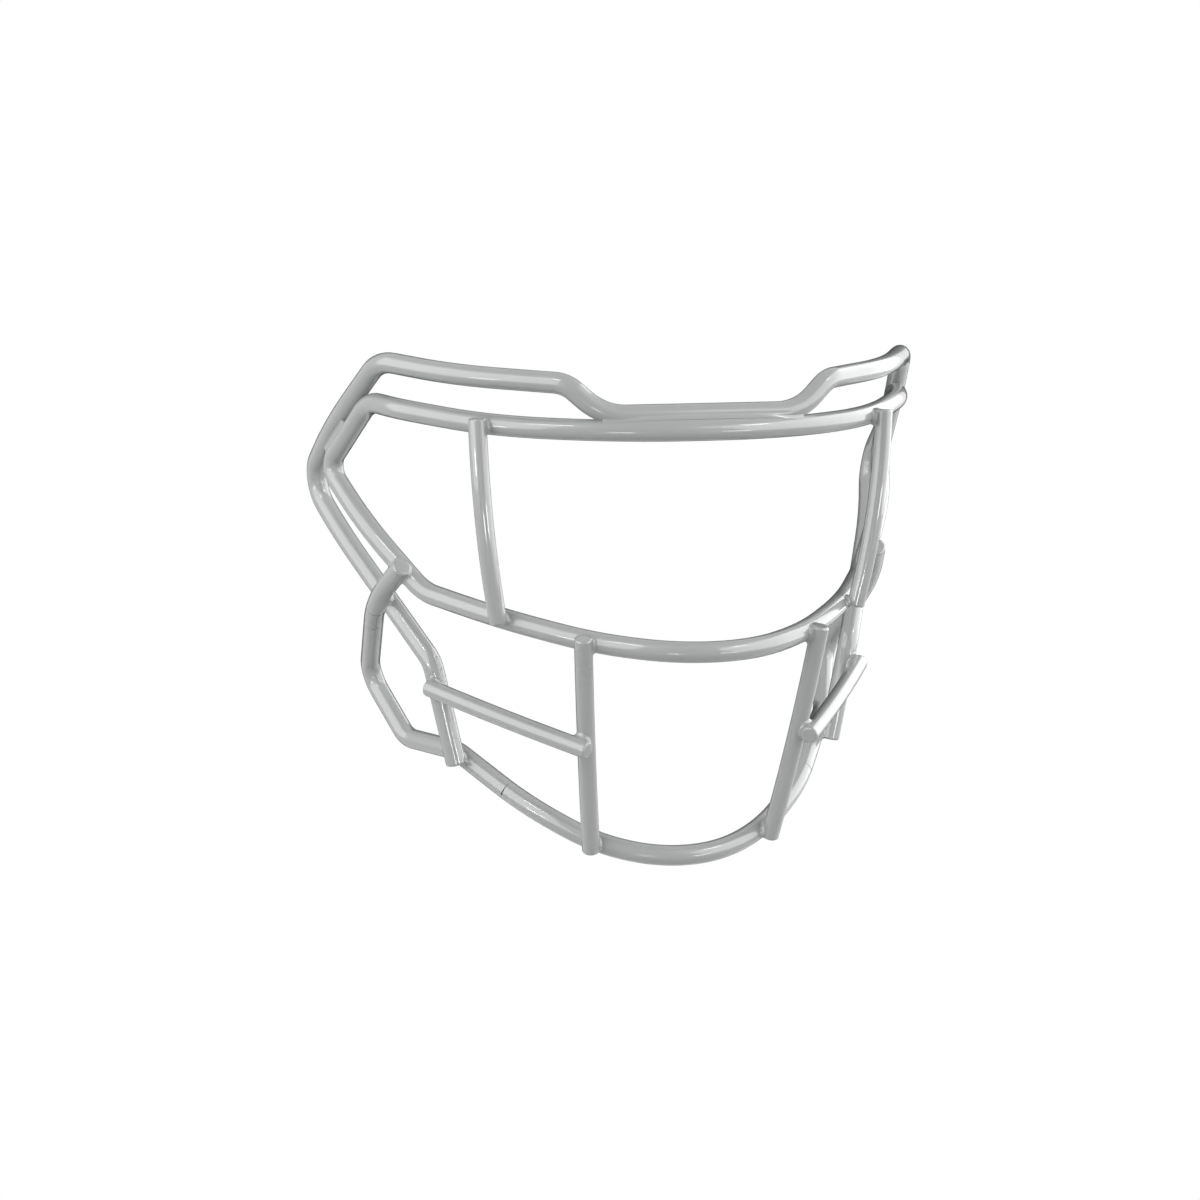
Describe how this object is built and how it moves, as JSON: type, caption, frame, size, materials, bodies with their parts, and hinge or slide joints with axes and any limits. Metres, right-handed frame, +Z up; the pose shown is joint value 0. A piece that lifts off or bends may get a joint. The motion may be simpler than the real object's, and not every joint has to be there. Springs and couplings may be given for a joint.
{
  "type": "football helmet facemask",
  "caption": "Welded wire cage that guards the face on a football helmet: an eye port ring, a brow wire with a dip, a chin wire and thin rods between them.",
  "frame": {"origin": "middle of the brow wire's dip, on the wire's axis", "axes": "+X to the wearer's left, +Y from the front of the mask to the back of the head, +Z up"},
  "size_m": [0.2126, 0.1217, 0.166],
  "materials": {
    "wire_coat": "gloss silver-grey coat over bent steel wire",
    "rod_coat": "gloss silver-grey coat over thin steel rod",
    "weld_coat": "gloss silver-grey coat over small weld fillets"
  },
  "bodies": {
    "root": {"eye_port_ring": "wire_coat", "brow_wire": "wire_coat", "chin_bar": "wire_coat", "brow_weld": "weld_coat", "jaw_wire_left": "wire_coat", "elbow_piece_left": "wire_coat", "hook_wire_left": "wire_coat", "upper_vertical_left": "rod_coat", "lower_vertical_left": "rod_coat", "side_strut_left": "rod_coat", "upper_vertical_top_weld_left": "weld_coat", "upper_vertical_foot_weld_left": "weld_coat", "lower_vertical_top_weld_left": "weld_coat", "lower_vertical_foot_weld_left": "weld_coat", "side_strut_back_weld_left": "weld_coat", "side_strut_front_weld_left": "weld_coat", "brow_foot_weld_left": "weld_coat", "hook_end_weld_left": "weld_coat", "hook_leg_weld_left": "weld_coat", "temple_weld_left": "weld_coat", "jaw_wire_right": "wire_coat", "elbow_piece_right": "wire_coat", "hook_wire_right": "wire_coat", "upper_vertical_right": "rod_coat", "lower_vertical_right": "rod_coat", "side_strut_right": "rod_coat", "upper_vertical_top_weld_right": "weld_coat", "upper_vertical_foot_weld_right": "weld_coat", "lower_vertical_top_weld_right": "weld_coat", "lower_vertical_foot_weld_right": "weld_coat", "side_strut_back_weld_right": "weld_coat", "side_strut_front_weld_right": "weld_coat", "brow_foot_weld_right": "weld_coat", "hook_end_weld_right": "weld_coat", "hook_leg_weld_right": "weld_coat", "temple_weld_right": "weld_coat"}
  },
  "joints": []
}
